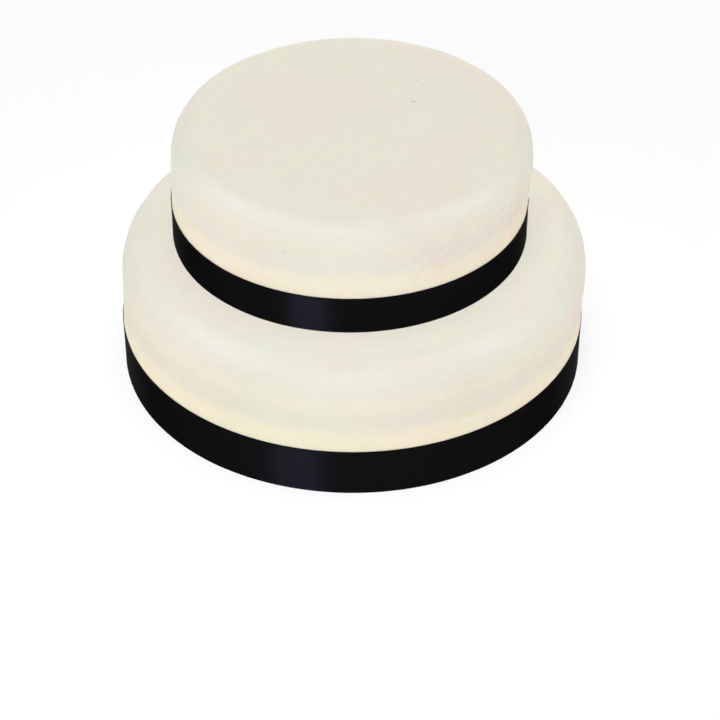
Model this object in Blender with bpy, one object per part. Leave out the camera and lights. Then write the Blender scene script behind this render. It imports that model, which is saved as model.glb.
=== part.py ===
"""Two-tier cake: two round tiers covered in ivory sugar paste, each with a black satin ribbon round its foot.

Metres, +Z up. The origin is the middle of the lower tier's underside, and -Y is the cake's front.
"""

import math

import bmesh
import bpy

# Driving dimensions, in metres unless the name says otherwise
GAP = 0.0003  # left between pieces that touch

LOWER = {
    "radius": 0.1291,  # at the foot, under the ribbon
    "height": 0.0820,
    "foot": 0.0,  # height of the underside
    "centre": (0.0, 0.0),
    "lean": (0.0017, 0.0003),  # how far the top has slid sideways over the foot
    "bulge": 0.0001,  # how far the side stands out over the ribbon's top edge
    "shoulder_in": 0.0190,  # the rounded shoulder, measured inwards across the top
    "shoulder_down": 0.0220,  # and down the side
    "ripple": 0.00030,  # depth of the slow waves round the side
    "phases": (0.4, 2.1, 4.0),  # where round the tier those waves start, in radians
}
UPPER = {
    "radius": 0.0969,
    "height": 0.0660,
    "foot": LOWER["height"] + GAP,
    "centre": (-0.0015, 0.0007),
    "lean": (0.0018, 0.0025),
    "bulge": 0.0008,
    "shoulder_in": 0.0130,
    "shoulder_down": 0.0170,
    "ripple": 0.00025,
    "phases": (1.3, 0.2, 5.1),
}
WAVES = (2, 3, 5)  # how many times each slow wave goes round

RIBBON_THICKNESS = 0.0006
RIBBON_LAP = math.radians(11.0)  # how far the outer end of a ribbon lies over its inner end
RIBBON_END = math.radians(100.0)  # bearing of the inner end, at the back, from +X
RIBBON_CLIMB = math.radians(5.0)  # how long the ribbon takes to rise onto its own end
LOWER_RIBBON_WIDTH = 0.0278
LOWER_RIBBON_LIFT = 0.0006  # keeps the ribbon's edge clear of what the cake stands on
UPPER_RIBBON_WIDTH = 0.0211
UPPER_RIBBON_LIFT = 0.0003

EDGE_ROUND = 0.0015  # trimmed lower edge of the sugar paste

# Fineness of the faceting
SEGMENTS = 96  # round a tier or a ribbon
SHOULDER_STEPS = 7
SIDE_STEPS = 4
TOP_STEPS = 3
EDGE_STEPS = 2
MERGE = 1e-6

IVORY = (0.80, 0.77, 0.66)
BLACK = (0.006, 0.006, 0.009)


def clear_scene():
    for obj in list(bpy.data.objects):
        bpy.data.objects.remove(obj, do_unlink=True)


def make_material(name, colour, roughness):
    material = bpy.data.materials.new(name)
    material.use_nodes = True
    shader = material.node_tree.nodes["Principled BSDF"]
    shader.inputs["Base Color"].default_value = (*colour, 1.0)
    shader.inputs["Roughness"].default_value = roughness
    shader.inputs["Metallic"].default_value = 0.0
    return material


def eased(share):
    """0 to 1 with a level start and end."""
    share = min(max(share, 0.0), 1.0)
    return share * share * (3.0 - 2.0 * share)


def foot_edge(tier):
    """Points of the small rounded edge at the foot, going up."""
    for step in range(EDGE_STEPS + 1):
        turn = math.pi / 2 * step / EDGE_STEPS
        yield (
            tier["radius"] - EDGE_ROUND * (1.0 - math.sin(turn)),
            EDGE_ROUND * (1.0 - math.cos(turn)),
        )


def shoulder(tier, side_radius):
    """Points of the quarter ellipse from the side to the flat top, without its first."""
    for step in range(1, SHOULDER_STEPS + 1):
        turn = math.pi / 2 * step / SHOULDER_STEPS
        yield (
            side_radius - tier["shoulder_in"] * (1.0 - math.cos(turn)),
            tier["height"] - tier["shoulder_down"] * (1.0 - math.sin(turn)),
        )


def tier_profile(tier, ribbon_top):
    """Half section of a tier as (radius, height over its foot), from underside to top."""
    side_radius = tier["radius"] + tier["bulge"]
    side_bottom = ribbon_top + GAP
    side_top = tier["height"] - tier["shoulder_down"]
    points = [(0.0, 0.0), (tier["radius"] * 0.6, 0.0)]
    points += foot_edge(tier)
    points.append((tier["radius"], side_bottom))
    for step in range(1, SIDE_STEPS + 1):
        share = step / SIDE_STEPS
        swell = tier["bulge"] * eased(share * 2.0)
        points.append((tier["radius"] + swell, side_bottom + share * (side_top - side_bottom)))
    points += shoulder(tier, side_radius)
    flat_radius = side_radius - tier["shoulder_in"]
    points += [(flat_radius * (1.0 - step / TOP_STEPS), tier["height"]) for step in range(1, TOP_STEPS)]
    points.append((0.0, tier["height"]))
    return points


def ripple_at(tier, bearing):
    """Slow unevenness of the side at a bearing, so that no tier is a perfect circle."""
    waves = zip(WAVES, tier["phases"])
    return tier["ripple"] * sum(math.sin(count * bearing + phase) for count, phase in waves) / len(WAVES)


def place_tier_point(point, tier, ribbon_top):
    """Adds unevenness and lean above the ribbon, and stands the tier at its place."""
    x, y, height = point
    above = (height - ribbon_top) / (tier["height"] - ribbon_top)
    share = min(max(above, 0.0), 1.0)
    radius = math.hypot(x, y)
    if radius > 0.0:
        outer = radius / tier["radius"]
        stretch = 1.0 + ripple_at(tier, math.atan2(y, x)) * eased(share * 4.0) * outer / radius
        x *= stretch
        y *= stretch
    return (
        tier["centre"][0] + x + tier["lean"][0] * share,
        tier["centre"][1] + y + tier["lean"][1] * share,
        tier["foot"] + height,
    )


def finish(name, bm, material):
    bmesh.ops.recalc_face_normals(bm, faces=bm.faces)
    mesh = bpy.data.meshes.new(name)
    bm.to_mesh(mesh)
    bm.free()
    mesh.materials.append(material)
    mesh.shade_smooth()
    mesh.set_sharp_from_angle(angle=math.radians(35.0))
    obj = bpy.data.objects.new(name, mesh)
    bpy.context.scene.collection.objects.link(obj)
    return obj


def make_tier(name, tier, ribbon_top, material):
    bm = bmesh.new()
    section = [bm.verts.new((radius, 0.0, height)) for radius, height in tier_profile(tier, ribbon_top)]
    edges = [bm.edges.new(pair) for pair in zip(section, section[1:])]
    bmesh.ops.spin(
        bm,
        geom=section + edges,
        cent=(0.0, 0.0, 0.0),
        axis=(0.0, 0.0, 1.0),
        angle=math.tau,
        steps=SEGMENTS,
        use_merge=True,
    )
    bmesh.ops.remove_doubles(bm, verts=bm.verts, dist=MERGE)
    for vert in bm.verts:
        vert.co = place_tier_point(vert.co, tier, ribbon_top)
    return finish(name, bm, material)


def ribbon_layer(turned, whole_turn):
    """How many layers of ribbon lie under the ribbon after it has turned this far."""
    return eased((turned - (whole_turn - RIBBON_CLIMB)) / RIBBON_CLIMB)


def make_ribbon(name, tier, width, lift, material):
    """A flat band wound once round a tier's foot, its outer end lapped over its inner end."""
    length = math.tau + RIBBON_LAP
    steps = round(SEGMENTS * length / math.tau) + 4
    bm = bmesh.new()
    rings = []
    for step in range(steps + 1):
        turned = length * step / steps
        bearing = RIBBON_END + turned
        inner = tier["radius"] + GAP
        inner += ribbon_layer(turned, math.tau) * (RIBBON_THICKNESS + GAP)
        low = tier["foot"] + lift
        corners = (
            (inner, low),
            (inner + RIBBON_THICKNESS, low),
            (inner + RIBBON_THICKNESS, low + width),
            (inner, low + width),
        )
        rings.append(
            [
                bm.verts.new(
                    (
                        tier["centre"][0] + radius * math.cos(bearing),
                        tier["centre"][1] + radius * math.sin(bearing),
                        height,
                    )
                )
                for radius, height in corners
            ]
        )
    for ring, following in zip(rings, rings[1:]):
        for corner in range(4):
            beside = (corner + 1) % 4
            bm.faces.new((ring[corner], following[corner], following[beside], ring[beside]))
    bm.faces.new(rings[0])
    bm.faces.new(reversed(rings[-1]))
    return finish(name, bm, material)


def main():
    clear_scene()
    sugar_paste = make_material("ivory_sugar_paste", IVORY, 0.55)
    satin = make_material("black_satin", BLACK, 0.35)
    make_tier("lower_tier", LOWER, LOWER_RIBBON_LIFT + LOWER_RIBBON_WIDTH, sugar_paste)
    make_ribbon("lower_ribbon", LOWER, LOWER_RIBBON_WIDTH, LOWER_RIBBON_LIFT, satin)
    make_tier("upper_tier", UPPER, UPPER_RIBBON_LIFT + UPPER_RIBBON_WIDTH, sugar_paste)
    make_ribbon("upper_ribbon", UPPER, UPPER_RIBBON_WIDTH, UPPER_RIBBON_LIFT, satin)


main()
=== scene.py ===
import math

import bpy
from mathutils import Matrix, Vector
from mathutils.kdtree import KDTree


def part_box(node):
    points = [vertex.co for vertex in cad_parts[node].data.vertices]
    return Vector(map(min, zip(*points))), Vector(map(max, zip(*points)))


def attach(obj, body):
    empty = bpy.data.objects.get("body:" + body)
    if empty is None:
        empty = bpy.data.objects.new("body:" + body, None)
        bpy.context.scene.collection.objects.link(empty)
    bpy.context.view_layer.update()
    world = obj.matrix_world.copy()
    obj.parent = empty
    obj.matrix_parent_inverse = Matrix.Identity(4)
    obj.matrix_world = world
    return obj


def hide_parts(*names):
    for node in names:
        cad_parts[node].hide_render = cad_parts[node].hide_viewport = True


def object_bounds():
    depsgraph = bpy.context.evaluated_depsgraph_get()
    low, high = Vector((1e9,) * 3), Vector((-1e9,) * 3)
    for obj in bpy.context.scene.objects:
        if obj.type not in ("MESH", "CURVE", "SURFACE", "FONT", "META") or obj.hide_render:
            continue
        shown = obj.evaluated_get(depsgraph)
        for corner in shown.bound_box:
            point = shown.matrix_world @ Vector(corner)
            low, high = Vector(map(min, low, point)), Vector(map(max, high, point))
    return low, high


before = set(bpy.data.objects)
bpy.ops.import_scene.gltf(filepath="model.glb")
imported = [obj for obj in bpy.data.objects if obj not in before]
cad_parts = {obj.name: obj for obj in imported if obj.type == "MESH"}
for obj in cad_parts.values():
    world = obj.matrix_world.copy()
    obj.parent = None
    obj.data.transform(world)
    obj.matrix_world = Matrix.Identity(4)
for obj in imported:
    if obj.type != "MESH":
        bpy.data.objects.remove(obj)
cadLow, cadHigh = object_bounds()
scene = bpy.context.scene
print("frame loaded:", sorted(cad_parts))


# camera: in front of the cake, looking down on it
cameraSet = {
    "place": (0.0066, -0.9826, 0.7706),  # metres
    "lens": 108.2,  # mm
    "film": 36,  # mm wide
    "lookDown": 38.588,  # degrees
    "turn": 0.122,
    "roll": 0.285,
}


def makeCamera():
    aim = Matrix.Rotation(math.radians(cameraSet["turn"]), 4, "Z")
    aim = aim @ Matrix.Rotation(math.radians(90 - cameraSet["lookDown"]), 4, "X")
    aim = aim @ Matrix.Rotation(math.radians(cameraSet["roll"]), 4, "Z")
    bpy.ops.object.camera_add(location=cameraSet["place"], rotation=aim.to_euler())
    camera = bpy.context.object
    camera.name = "camera"
    camera.data.lens = cameraSet["lens"]
    camera.data.sensor_width = cameraSet["film"]
    scene.camera = camera


makeCamera()
print("camera placed")


# small helpers for modelling by hand
def startClean():
    if bpy.context.object and bpy.context.object.mode != "OBJECT":
        bpy.ops.object.mode_set(mode="OBJECT")
    bpy.ops.object.select_all(action="DESELECT")


def takeUp(piece):
    startClean()
    piece.select_set(True)
    bpy.context.view_layer.objects.active = piece


def applyModifier(piece, kind, **values):
    takeUp(piece)
    bpy.ops.object.modifier_add(type=kind)
    modifier = piece.modifiers[-1]
    for key, value in values.items():
        setattr(modifier, key, value)
    bpy.ops.object.modifier_apply(modifier=modifier.name)


def settle(piece):  # place and turn go into the mesh
    takeUp(piece)
    bpy.ops.object.transform_apply(location=True, rotation=True, scale=True)


def smoothStep(share):
    share = min(max(share, 0.0), 1.0)
    return share * share * (3 - 2 * share)


def ramp(value, start, end):
    return smoothStep((value - start) / (end - start))


def paintGroup(piece, name, rule):
    group = piece.vertex_groups.new(name=name)
    for vertex in piece.data.vertices:
        weight = rule(vertex.co)
        if weight > 0:
            group.add([vertex.index], weight, "REPLACE")


def roughen(piece, name, size, depth, group, softness, stretch):
    grain = bpy.data.textures.new(name, type="CLOUDS")
    grain.noise_scale = size
    grain.noise_depth = softness
    startClean()
    bpy.ops.object.empty_add()
    guide = bpy.context.object
    guide.scale = (stretch, stretch, 1)  # above 1 it draws the lumps out sideways
    bpy.context.view_layer.update()
    applyModifier(
        piece, "DISPLACE", texture=grain, texture_coords="OBJECT", texture_coords_object=guide,
        direction="NORMAL", mid_level=0.5, strength=depth, vertex_group=group,
    )
    bpy.data.objects.remove(guide)


# sugar paste on the tiers: a turned cage, subdivided, then made uneven
tierSet = {
    "segments": 120,
    "underShare": 0.8,  # of the radius, a ring on the underside
    "footRound": 0.0015,
    "ribbonHold": 0.001,  # the last ring that the ribbon hides lies this far under its edge
    "sideRings": 8,
    "waistAt": 0.35,  # of the way from the ribbon to the shoulder
    "shoulderRings": 9,
    "topRings": 6,
    "flatShare": 0.55,  # of the radius, where rings give way to a grid
    "levels": 2,
    "freeFrom": 0.0004,  # heights over the ribbon where the unevenness starts and is whole
    "freeWhole": 0.008,
    "outerShares": (0.80, 0.93),  # of the radius, where smears start and are whole
    "ledgeMargin": 0.001,  # the ledge stays flat this far round the upper tier
    "ledgeRamp": 0.011,
    "lumpBearing": 312,  # degrees
    "lumpSpread": 44,
}
unevenSet = {  # size, depth, where it lies, softness, stretch
    "Waves": (0.055, 0.0004, "free", 1, 1),
    "Palm": (0.020, 0.00035, "free", 2, 1),  # marks of the smoothing hand
    "Smears": (0.0050, 0.0009, "outer", 2, 2.2),  # they run round the sides
    "Lumps": (0.0045, 0.0021, "lumpy", 2, 1.6),  # small, at the right of the front
}
lowerSet = {
    "name": "lowerTier",
    "node": "lower_tier",
    "ribbon": "lower_ribbon",
    "flare": 0.0006,  # sugar paste under the ribbon stands out this far over the solid
    "bulge": 0.0003,
    "waist": 0.0006,  # the side draws in this far a little over the ribbon
    "shoulderIn": 0.0190,
    "shoulderDown": 0.0220,
    "centre": (0.0, 0.0),
    "lean": (0.0017, 0.0003),
    "topDrop": -0.0001,  # so that the upper ribbon's edge rests in it
    "radius": 0.1291,
    "paintedBounceTint": (1.045, 1.018, 0.940),  # painted warm bounce light: creamier where the side meets the ribbon
    "paintedCoolLightTint": (0.935, 0.957, 0.985),  # painted cool light: cooler over that
    "paintedTopShade": (0.966, 0.968, 0.970),  # painted shade on the flat top, making up for the paler look of a dull top
    "marks": [  # place, radius, depth, darkness: pits seen in the sugar paste, made darker in colour
        ((-0.0898, -0.0923, 0.0446), 0.0016, 0.0004, 0.35),
        ((-0.1090, -0.0670, 0.0692), 0.0024, 0.0004, 0.10),
    ],
}
upperSet = {
    "name": "upperTier",
    "node": "upper_tier",
    "ribbon": "upper_ribbon",
    "flare": 0.0005,
    "bulge": 0.0009,
    "waist": 0.0003,
    "shoulderIn": 0.0130,
    "shoulderDown": 0.0170,
    "centre": (-0.0015, 0.0007),
    "lean": (0.0018, 0.0025),
    "topDrop": 0.0003,  # leaves room for the waves
    "radius": 0.0969,
    # painted warm bounce light at the foot and painted cool light on the side
    "paintedBounceTint": (1.066, 1.050, 1.000),
    "paintedCoolLightTint": (0.962, 0.990, 1.040),
    # painted shade on the flat top
    "paintedTopShade": (0.984, 0.977, 0.965),
    "marks": [
        ((0.0321, 0.0228, 0.148), 0.0013, 0.0003, 1.00),
        ((0.0330, 0.0228, 0.148), 0.0013, 0.0003, 1.00),
        ((0.0296, 0.0562, 0.148), 0.0021, 0.0003, 0.16),
        ((0.0276, 0.0488, 0.148), 0.0021, 0.0003, 0.18),
        ((0.0334, 0.0504, 0.148), 0.0022, 0.0004, 0.30),
        ((0.0352, 0.0446, 0.148), 0.0020, 0.0003, 0.22),
        ((0.0374, 0.0410, 0.148), 0.0023, 0.0004, 0.30),
        ((0.0505, -0.0341, 0.148), 0.0028, 0.0004, 0.17),
        ((0.0052, -0.0751, 0.147), 0.0025, 0.0004, 0.14),
        ((-0.0350, -0.0890, 0.1275), 0.0025, 0.0004, 0.12),
        ((0.0380, -0.0900, 0.1270), 0.0025, 0.0004, 0.12),
    ],
}
markSet = {
    "around": 1.2,  # of a mark's radius, where the mesh is finer
    "margin": 0.0015,
    "cuts": 3,
    "depth": 0.0004,  # of the deepest pit
}


def tierRings(tier):
    low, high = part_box(tier["node"])
    high.z -= tier["topDrop"]
    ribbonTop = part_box(tier["ribbon"])[1].z
    radius = tier["radius"] + tier["flare"]
    side = tier["radius"] + tier["bulge"]
    shoulderFoot = high.z - tier["shoulderDown"]
    rounding = tierSet["footRound"]
    rings = [
        (radius * tierSet["flatShare"], low.z),
        (radius * tierSet["underShare"], low.z),
        (radius - rounding * 2, low.z),
        (radius - rounding * 0.5, low.z + rounding * 0.2),
        (radius, low.z + rounding),
        (radius, low.z + rounding * 3),
        (radius, (low.z + ribbonTop) / 2),
        (radius, ribbonTop - tierSet["ribbonHold"]),
    ]
    waistAt = tierSet["waistAt"]
    for step in range(1, tierSet["sideRings"] + 1):
        share = step / tierSet["sideRings"]
        drawnIn = tier["waist"] * ramp(share, 0, waistAt) * ramp(share, 1, waistAt)
        reach = radius + (side - radius) * smoothStep(share) - drawnIn
        rings.append((reach, ribbonTop + (shoulderFoot - ribbonTop) * share))
    for step in range(1, tierSet["shoulderRings"] + 1):
        turn = math.pi / 2 * step / tierSet["shoulderRings"]
        rings.append((
            side - tier["shoulderIn"] * (1 - math.cos(turn)),
            high.z - tier["shoulderDown"] * (1 - math.sin(turn)),
        ))
    flat = side - tier["shoulderIn"]
    inner = side * tierSet["flatShare"]
    for step in range(1, tierSet["topRings"] + 1):
        rings.append((flat + (inner - flat) * step / tierSet["topRings"], high.z))
    return rings


def tierCentre(tier, height):
    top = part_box(tier["node"])[1].z
    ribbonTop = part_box(tier["ribbon"])[1].z
    share = min(max((height - ribbonTop) / (top - ribbonTop), 0), 1)
    return [tier["centre"][axis] + tier["lean"][axis] * share for axis in range(2)]


def makeTier(tier):
    startClean()
    rings = tierRings(tier)
    radius, height = rings[0]
    centre = tierCentre(tier, height)
    bpy.ops.mesh.primitive_circle_add(
        vertices=tierSet["segments"], radius=radius, location=(*centre, height), fill_type="NOTHING"
    )
    piece = bpy.context.object
    piece.name = piece.data.name = tier["name"]
    settle(piece)
    bpy.ops.object.mode_set(mode="EDIT")
    bpy.ops.mesh.select_all(action="SELECT")
    for nextRadius, nextHeight in rings[1:]:
        nextCentre = tierCentre(tier, nextHeight)
        step = (nextCentre[0] - centre[0], nextCentre[1] - centre[1], nextHeight - height)
        bpy.ops.mesh.extrude_region_move(TRANSFORM_OT_translate={"value": step})
        grow = nextRadius / radius
        bpy.ops.transform.resize(value=(grow, grow, 1), center_override=(*nextCentre, nextHeight))
        radius, height, centre = nextRadius, nextHeight, nextCentre
    quarter = tierSet["segments"] // 4
    bpy.ops.mesh.fill_grid(span=quarter)  # top
    bpy.ops.mesh.select_all(action="DESELECT")
    bpy.ops.mesh.select_non_manifold()
    bpy.ops.mesh.fill_grid(span=quarter)  # underside
    bpy.ops.mesh.select_all(action="SELECT")
    bpy.ops.mesh.normals_make_consistent(inside=False)
    bpy.ops.object.mode_set(mode="OBJECT")
    applyModifier(piece, "SUBSURF", levels=tierSet["levels"], render_levels=tierSet["levels"])
    unevenTier(piece, tier)
    markTier(piece, tier)
    takeUp(piece)
    bpy.ops.object.shade_smooth()
    return piece


def unevenTier(piece, tier):
    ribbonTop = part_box(tier["ribbon"])[1].z
    centre = Vector((*tier["centre"], 0))
    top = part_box(tier["node"])[1].z
    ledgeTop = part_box("upper_tier")[0].z
    stood = upperSet["radius"] + tierSet["ledgeMargin"]
    outerFrom, outerWhole = [tier["radius"] * share for share in tierSet["outerShares"]]

    def free(point):  # nothing moves under the ribbon, or where the upper tier stands
        away = math.hypot(point.x - upperSet["centre"][0], point.y - upperSet["centre"][1])
        ledge = 1 if point.z > ledgeTop else ramp(away, stood, stood + tierSet["ledgeRamp"])
        return ledge * ramp(point.z, ribbonTop + tierSet["freeFrom"], ribbonTop + tierSet["freeWhole"])

    def outer(point):  # the side and the shoulder, fading towards the top
        off = point - centre
        wide = ramp(math.hypot(off.x, off.y), outerFrom, outerWhole)
        return free(point) * wide * ramp(top - point.z, 0.0, tier["shoulderDown"])

    def lumpy(point):
        off = point - centre
        bearing = math.degrees(math.atan2(off.y, off.x)) % 360
        aside = abs(bearing - tierSet["lumpBearing"]) / tierSet["lumpSpread"]
        return outer(point) * (1 - smoothStep(aside))

    paintGroup(piece, "free", free)
    paintGroup(piece, "outer", outer)
    paintGroup(piece, "lumpy", lumpy)
    for name, values in unevenSet.items():
        roughen(piece, tier["name"] + name, *values)


def pointFinder(piece):
    finder = KDTree(len(piece.data.vertices))
    for vertex in piece.data.vertices:
        finder.insert(vertex.co, vertex.index)
    finder.balance()
    return finder


def markTier(piece, tier):  # pits, made darker in colour
    marks = [(piece.closest_point_on_mesh(mark[0])[1], *mark[1:]) for mark in tier["marks"]]
    takeUp(piece)
    bpy.ops.object.mode_set(mode="EDIT")
    bpy.ops.mesh.select_all(action="DESELECT")
    bpy.ops.object.mode_set(mode="OBJECT")
    finder = pointFinder(piece)
    for place, radius, depth, pitDarkness in marks:  # a finer mesh round each mark
        reach = radius * markSet["around"] + markSet["margin"]
        for point, index, away in finder.find_range(place, reach):
            piece.data.vertices[index].select = True
    bpy.ops.object.mode_set(mode="EDIT")
    bpy.ops.mesh.subdivide(number_cuts=markSet["cuts"], smoothness=0)
    bpy.ops.object.mode_set(mode="OBJECT")
    finder = pointFinder(piece)
    # how much darker the colour is in each pit
    pitDarknessLayer = piece.data.attributes.new("pitDarkness", "FLOAT", "POINT")
    pits = piece.vertex_groups.new(name="pits")
    for place, radius, depth, pitDarkness in marks:
        for point, index, away in finder.find_range(place, radius):
            share = 1 - smoothStep(away / radius)
            pitDarknessLayer.data[index].value = max(pitDarknessLayer.data[index].value, pitDarkness * share)
            pits.add([index], depth / markSet["depth"] * share, "REPLACE")
    applyModifier(
        piece, "DISPLACE", direction="NORMAL", mid_level=0, strength=-markSet["depth"],
        vertex_group="pits",
    )


lowerTier = makeTier(lowerSet)
upperTier = makeTier(upperSet)
for piece in (lowerTier, upperTier):
    print(piece.name, "made,", len(piece.data.polygons), "faces")


# satin ribbons: a flat strip wound once round the foot, lapped over its own end at the back
ribbonSet = {
    "thickness": 0.00040,  # of the selvedge
    "bodyShare": 0.7,  # the satin between the selvedges is thinner
    "selvedge": 0.0008,
    "selvedgeCuts": (0.35, 1, 1.35),  # of its width
    "thickTo": 1.2,
    "crease": 40,  # degrees past which an edge is sharp
    "lap": 11,  # degrees
    "end": 100,  # bearing of the inner end
    "climb": 5,
    "lapGap": 0.00010,
    "steps": 720,
    "rows": 10,
    "waverSize": 0.030,
    "waverDepth": 0.00012,
    "settled": 0.00059,  # the solids' gap below, closed here
}


def ribbonPath(name, centre, radius):
    lap = ribbonSet["thickness"] + ribbonSet["lapGap"]
    whole = 360 + ribbonSet["lap"]
    curve = bpy.data.curves.new(name, type="CURVE")
    curve.dimensions = "2D"
    line = curve.splines.new("POLY")
    line.points.add(ribbonSet["steps"])
    length = 0.0
    last = None
    for step, point in enumerate(line.points):
        turned = whole * step / ribbonSet["steps"]
        reach = radius + lap * ramp(turned, 360 - ribbonSet["climb"], 360)
        bearing = math.radians(ribbonSet["end"] + turned)
        place = Vector((centre[0] + reach * math.cos(bearing), centre[1] + reach * math.sin(bearing), 0))
        point.co = (*place, 1)
        length += (place - last).length if last else 0
        last = place
    path = bpy.data.objects.new(name, curve)
    scene.collection.objects.link(path)
    return path, length


def markSelvedges(piece, bottom, top):  # woven edges, a little thicker than the satin
    edge = ribbonSet["selvedge"]
    takeUp(piece)
    bpy.ops.object.mode_set(mode="EDIT")
    for share in ribbonSet["selvedgeCuts"]:
        for height in (bottom + edge * share, top - edge * share):
            bpy.ops.mesh.select_all(action="SELECT")
            bpy.ops.mesh.bisect(plane_co=(0, 0, height), plane_no=(0, 0, 1))
    bpy.ops.object.mode_set(mode="OBJECT")
    near = edge * ribbonSet["thickTo"]
    paintGroup(piece, "selvedge", lambda point: point.z < bottom + near or point.z > top - near)
    paintGroup(piece, "whole", lambda point: 1.0)


def makeRibbon(name, node, tier):
    low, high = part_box(node)
    low.z -= ribbonSet["settled"]
    width = high.z - low.z
    outer = (high.x - low.x) / 2
    path, length = ribbonPath(name + "Path", tier["centre"], outer - ribbonSet["thickness"] / 2)
    startClean()
    bpy.ops.mesh.primitive_grid_add(
        x_subdivisions=ribbonSet["steps"], y_subdivisions=ribbonSet["rows"], size=1,
        location=(length / 2, 0, (low.z + high.z) / 2), rotation=(math.radians(90), 0, 0),
    )
    piece = bpy.context.object
    piece.name = piece.data.name = name
    piece.scale = (length, width, 1)
    settle(piece)
    markSelvedges(piece, low.z, high.z)
    applyModifier(piece, "CURVE", object=path, deform_axis="POS_X")
    bpy.data.objects.remove(path)
    roughen(piece, name + "Waver", ribbonSet["waverSize"], ribbonSet["waverDepth"], "whole", 1, 1)
    applyModifier(
        piece, "SOLIDIFY", thickness=ribbonSet["thickness"], offset=0, use_rim=True,
        vertex_group="selvedge", thickness_vertex_group=ribbonSet["bodyShare"],
    )
    takeUp(piece)
    bpy.ops.object.mode_set(mode="EDIT")
    bpy.ops.mesh.select_all(action="SELECT")
    bpy.ops.mesh.normals_make_consistent(inside=False)
    bpy.ops.object.mode_set(mode="OBJECT")
    bpy.ops.object.shade_smooth_by_angle(angle=math.radians(ribbonSet["crease"]))
    return piece, length, width


lowerRibbon, lowerLength, lowerWidth = makeRibbon("lowerRibbon", "lower_ribbon", lowerSet)
upperRibbon, upperLength, upperWidth = makeRibbon("upperRibbon", "upper_ribbon", upperSet)
for piece in (lowerRibbon, upperRibbon):
    print(piece.name, "wound,", len(piece.data.polygons), "faces")


# materials
def newMaterial(name):
    material = bpy.data.materials.new(name)
    material.use_nodes = True
    tree = material.node_tree
    return material, tree, tree.nodes["Principled BSDF"]


def addNode(tree, kind, inputs=None, **values):
    node = tree.nodes.new(kind)
    for key, value in values.items():
        setattr(node, key, value)
    for key, value in (inputs or {}).items():
        if isinstance(value, bpy.types.NodeSocket):
            tree.links.new(value, node.inputs[key])
        else:
            node.inputs[key].default_value = value
    return node


def addNoise(tree, place, scale, detail):
    return addNode(tree, "ShaderNodeTexNoise", {"Vector": place, "Scale": scale, "Detail": detail})


def addBump(tree, height, depth, **more):
    inputs = {"Height": height, "Distance": depth, "Strength": 1.0, **more}
    return addNode(tree, "ShaderNodeBump", inputs).outputs[0]


def mapRange(tree, value, fromLow, fromHigh, toLow, toHigh):
    node = addNode(tree, "ShaderNodeMapRange", {
        "Value": value, "From Min": fromLow, "From Max": fromHigh, "To Min": toLow, "To Max": toHigh,
    }, interpolation_type="SMOOTHSTEP")
    return node.outputs[0]


def mixColours(tree, factor, first, second):
    mix = addNode(tree, "ShaderNodeMix", {"Factor": factor}, data_type="RGBA")
    for socket, colour in ((6, first), (7, second)):  # the two colour sockets
        if isinstance(colour, bpy.types.NodeSocket):
            tree.links.new(colour, mix.inputs[socket])
        else:
            mix.inputs[socket].default_value = (*colour, 1)
    return mix.outputs[2]


def multiply(tree, first, second):
    return addNode(tree, "ShaderNodeVectorMath", {0: first, 1: second}, operation="MULTIPLY").outputs[0]


pasteSet = {
    "pinker": (0.810, 0.764, 0.650),
    "greener": (0.792, 0.782, 0.652),
    "patchScale": 20,
    "patchAt": (0.30, 0.10, 0.0),
    "patchEdges": (0.38, 0.62),  # of the noise, where one colour gives way to the other
    "noiseSpan": (0.3, 0.7),
    "softDetail": 2.0,
    "fineDetail": 3.0,
    "blotchScale": 110,
    "blotch": 0.022,
    "mottleScale": 320,
    "mottle": 0.010,
    "footTop": 0.0070,  # heights over the ribbon where one painted-light tint gives way to the next
    "sideFoot": 0.0175,
    "sideTop": 0.0200,
    "shoulder": 0.0320,
    "pitDarkColour": (0.62, 0.63, 0.62),
    "roughness": (0.44, 0.56),
    "flatRoughness": 0.85,  # the flat tops are dull
    "flatFrom": 0.0030,  # depths under the top where the dullness and the painted top shade start and are whole
    "flatWhole": 0.0004,
    "shine": 0.3,
    "peelScale": 900,
    "peelDepth": 0.00002,
    "streakScale": 90,
    "streakDepth": 0.00003,
    "glow": 0.2,
    "glowDepth": 0.003,
    "glowReach": (1.0, 0.8, 0.5),
}
plain = (1, 1, 1)


def patchyColour(tree, place, patch):  # pink and green patches, blotches and a fine mottle
    look = pasteSet
    patchy = mapRange(tree, patch, *look["patchEdges"], 0, 1)
    colour = mixColours(tree, patchy, look["greener"], look["pinker"])
    blotch = addNoise(tree, place, look["blotchScale"], look["fineDetail"])
    blotchy = addNode(tree, "ShaderNodeVectorMath", {
        0: blotch.outputs["Color"], 1: (look["blotch"] * 2,) * 3, 2: (1 - look["blotch"],) * 3,
    }, operation="MULTIPLY_ADD")
    colour = multiply(tree, colour, blotchy.outputs[0])
    mottle = addNoise(tree, place, look["mottleScale"], look["fineDetail"])
    shade = mapRange(
        tree, mottle.outputs["Fac"], *look["noiseSpan"], 1 - look["mottle"], 1 + look["mottle"]
    )
    return multiply(tree, colour, shade)


def paintedLightTint(tree, height, ribbonTop, tier):  # painted light: creamier at the foot as painted warm bounce light, cooler on the side as painted cool light
    look = pasteSet
    nearFoot = mapRange(tree, height, ribbonTop + look["footTop"], ribbonTop + look["sideFoot"], 0, 1)
    nearTop = mapRange(tree, height, ribbonTop + look["sideTop"], ribbonTop + look["shoulder"], 0, 1)
    tint = mixColours(tree, nearFoot, tier["paintedBounceTint"], tier["paintedCoolLightTint"])
    return mixColours(tree, nearTop, tint, plain)


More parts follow.
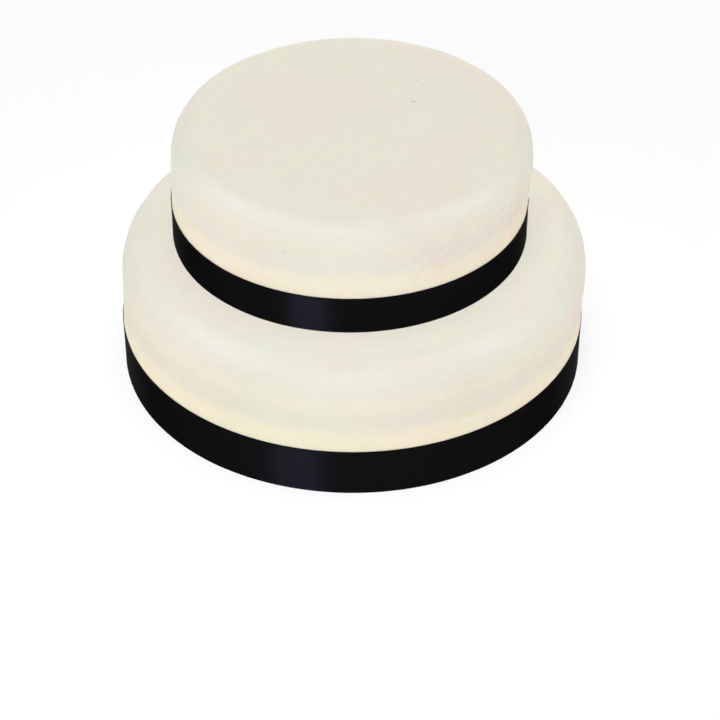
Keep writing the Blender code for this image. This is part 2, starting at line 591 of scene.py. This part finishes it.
def sugarPaste(tier):
    look = pasteSet
    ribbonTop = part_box(tier["ribbon"])[1].z
    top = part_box(tier["node"])[1].z - tier["topDrop"]
    material, tree, shader = newMaterial(tier["name"] + "SugarPaste")
    place = addNode(tree, "ShaderNodeTexCoord").outputs["Object"]
    height = addNode(tree, "ShaderNodeSeparateXYZ", {0: place}).outputs["Z"]
    shifted = addNode(tree, "ShaderNodeMapping", {"Vector": place, "Location": look["patchAt"]})
    patch = addNoise(tree, shifted.outputs[0], look["patchScale"], look["softDetail"]).outputs["Fac"]
    flat = mapRange(tree, height, top - look["flatFrom"], top - look["flatWhole"], 0, 1)
    pitDarkness = addNode(tree, "ShaderNodeAttribute", attribute_name="pitDarkness").outputs["Fac"]

    colour = patchyColour(tree, place, patch)
    # painted warm bounce light and painted cool light, by height
    colour = multiply(tree, colour, paintedLightTint(tree, height, ribbonTop, tier))
    # painted shade on the flat top
    colour = multiply(tree, colour, mixColours(tree, flat, plain, tier["paintedTopShade"]))
    # darker colour in the pits
    colour = multiply(tree, colour, mixColours(tree, pitDarkness, plain, look["pitDarkColour"]))
    tree.links.new(colour, shader.inputs["Base Color"])

    polish = mapRange(tree, patch, *look["noiseSpan"], *look["roughness"])
    rough = mapRange(tree, flat, 0, 1, polish, look["flatRoughness"])
    tree.links.new(rough, shader.inputs["Roughness"])

    peel = addNoise(tree, place, look["peelScale"], look["softDetail"]).outputs["Fac"]
    streaks = addNoise(tree, place, look["streakScale"], look["fineDetail"]).outputs["Fac"]
    fine = addBump(tree, peel, look["peelDepth"])
    tree.links.new(addBump(tree, streaks, look["streakDepth"], Normal=fine), shader.inputs["Normal"])

    shader.inputs["Specular IOR Level"].default_value = look["shine"]
    shader.inputs["Subsurface Weight"].default_value = look["glow"]
    shader.inputs["Subsurface Scale"].default_value = look["glowDepth"]
    shader.inputs["Subsurface Radius"].default_value = look["glowReach"]
    return material


satinSet = {
    "colour": (0.0072, 0.0072, 0.0078),
    "roughness": 0.36,
    "stretch": 1.0,  # how far the shine runs across the threads
    "turn": 0.25,  # of a whole turn, from along the ribbon to across it
    "tinted": 0.5,  # share of the shine that the dyed threads tint
    "edge": 0.42,  # and dull at a slant
    "threadAlong": 500,  # per metre
    "threadAcross": 5200,
    "threadDetail": 2.0,
    "threadDepth": 0.00002,
}


def satin(name, length, width):
    look = satinSet
    material, tree, shader = newMaterial(name)
    lay = addNode(tree, "ShaderNodeUVMap", uv_map="UVMap").outputs[0]
    count = (length * look["threadAlong"], width * look["threadAcross"], 1)
    threads = addNode(tree, "ShaderNodeMapping", {"Vector": lay, "Scale": count}).outputs[0]
    weave = addNoise(tree, threads, 1.0, look["threadDetail"]).outputs["Fac"]
    tree.links.new(addBump(tree, weave, look["threadDepth"]), shader.inputs["Normal"])
    along = addNode(tree, "ShaderNodeTangent", direction_type="UV_MAP", uv_map="UVMap").outputs[0]
    tree.links.new(along, shader.inputs["Tangent"])
    shader.inputs["Base Color"].default_value = (*look["colour"], 1)
    shader.inputs["Roughness"].default_value = look["roughness"]
    shader.inputs["Anisotropic"].default_value = look["stretch"]
    shader.inputs["Anisotropic Rotation"].default_value = look["turn"]
    shader.inputs["Metallic"].default_value = look["tinted"]
    shader.inputs["Specular IOR Level"].default_value = 0.0
    shader.inputs["Specular Tint"].default_value = (look["edge"], look["edge"], look["edge"], 1)
    return material


def dress(piece, material, node):
    piece.data.materials.clear()
    piece.data.materials.append(material)
    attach(piece, "root")
    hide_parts(node)


dress(lowerTier, sugarPaste(lowerSet), "lower_tier")
dress(upperTier, sugarPaste(upperSet), "upper_tier")
dress(lowerRibbon, satin("lowerSatin", lowerLength, lowerWidth), "lower_ribbon")
dress(upperRibbon, satin("upperSatin", upperLength, upperWidth), "upper_ribbon")
print("materials on")


# floor and lights
floorSet = {"size": 24.0, "colour": (0.97, 0.97, 0.97), "roughness": 0.9, "shine": 0.1}


def makeFloor():
    startClean()
    bpy.ops.mesh.primitive_plane_add(size=floorSet["size"], location=(0, 0, cadLow.z))
    floor = bpy.context.object
    floor.name = "floor"
    material, tree, shader = newMaterial("paleFloor")
    shader.inputs["Base Color"].default_value = (*floorSet["colour"], 1)
    shader.inputs["Roughness"].default_value = floorSet["roughness"]
    shader.inputs["Specular IOR Level"].default_value = floorSet["shine"]
    floor.data.materials.append(material)


# bearings are degrees left of the camera, distances and sizes are metres
softboxSet = {  # the one lamp that throws a shadow, without a shine of its own
    "bearing": 24,
    "elevation": 38,
    "distance": 1.3,
    "size": (0.6, 0.6),
    "power": 1.4,
    "colour": (0.95, 0.97, 1.0),
}
stripSet = {  # gives the satin its cool shine, and no other light
    "bearing": 23,
    "elevation": 12,
    "distance": 1.3,
    "size": (0.44, 0.6),
    "power": 28.0,
    "colour": (0.55, 0.55, 1.0),
}
fillSet = {  # far lamps without shadow or shine: bearing, elevation, strength, colour
    "front": (0, 58, 2.50, (0.97, 0.97, 1.0)),
    "rightBack": (-120, 20, 0.94, (0.92, 0.96, 1.0)),
    "leftBack": (120, 20, 0.88, (0.84, 0.91, 1.0)),
    "highBack": (180, 20, 0.60, (1.0, 0.78, 0.56)),
    "leftBounce": (70, -65, 0.97, (1.0, 0.6, 0.0)),
    "rightBounce": (-70, -65, 0.91, (1.0, 0.36, 0.0)),
    "back": (180, 0, 0.85, (1.0, 0.97, 0.92)),
}
sheenSet = {  # far lamps that only shine, along the sugar paste's shoulders
    "sheenLeft": (75, 34, 2.0, (0.68, 0.68, 1.0)),
    "sheen": (0, 34, 2.0, (0.68, 0.68, 1.0)),
    "sheenRight": (-75, 34, 1.5, (0.68, 0.68, 1.0)),
}
farDistance = 2.0
worldSet = {"colour": (0.95, 0.94, 1.0), "shine": 0.19, "strength": 0.08, "backdrop": 1.0}


def outward(bearing, elevation):
    turn = math.radians(270 - bearing)
    rise = math.radians(elevation)
    level = math.cos(rise)
    return Vector((level * math.cos(turn), level * math.sin(turn), math.sin(rise)))


def addLamp(name, kind, bearing, elevation, distance, power, colour):
    out = outward(bearing, elevation)
    place = Vector((0, 0, cadHigh.z / 2)) + out * distance
    bpy.ops.object.light_add(type=kind, location=place, rotation=out.to_track_quat("Z", "Y").to_euler())
    lamp = bpy.context.object
    lamp.name = name + "Lamp"
    lamp.data.energy = power
    lamp.data.color = colour
    lamp.visible_camera = False
    return lamp


def addPanel(name, panel):
    lamp = addLamp(
        name, "AREA", panel["bearing"], panel["elevation"], panel["distance"], panel["power"],
        panel["colour"],
    )
    lamp.data.shape = "RECTANGLE"
    lamp.data.size, lamp.data.size_y = panel["size"]
    return lamp


def addFarLamp(name, bearing, elevation, power, colour):
    lamp = addLamp(name, "SUN", bearing, elevation, farDistance, power, colour)
    lamp.data.use_shadow = False
    return lamp


def lightOnly(lamp, name, pieces):
    lit = bpy.data.collections.new(name)
    for piece in pieces:
        lit.objects.link(piece)
    lamp.light_linking.receiver_collection = lit


def makeLights():
    softbox = addPanel("softbox", softboxSet)
    softbox.visible_glossy = False
    strip = addPanel("strip", stripSet)
    strip.visible_diffuse = False
    lightOnly(strip, "satinOnly", (lowerRibbon, upperRibbon))
    for name, values in fillSet.items():
        fill = addFarLamp(name, *values)
        fill.visible_glossy = False
    for name, values in sheenSet.items():
        sheen = addFarLamp(name, *values)
        sheen.visible_diffuse = False
        lightOnly(sheen, name + "Paste", (lowerTier, upperTier))


def makeWorld():  # white behind the cake, dim in its shine and as light
    world = bpy.data.worlds.new("studio")
    world.use_nodes = True
    tree = world.node_tree
    sky = tree.nodes["Background"]
    seen = addNode(tree, "ShaderNodeLightPath")
    glow = mapRange(tree, seen.outputs["Is Diffuse Ray"], 0, 1, worldSet["shine"], worldSet["strength"])
    glow = mapRange(tree, seen.outputs["Is Camera Ray"], 0, 1, glow, worldSet["backdrop"])
    sky.inputs["Color"].default_value = (*worldSet["colour"], 1)
    tree.links.new(glow, sky.inputs["Strength"])
    scene.world = world
    scene.view_settings.view_transform = "Standard"


makeFloor()
makeLights()
makeWorld()
print("floor and lights ready")
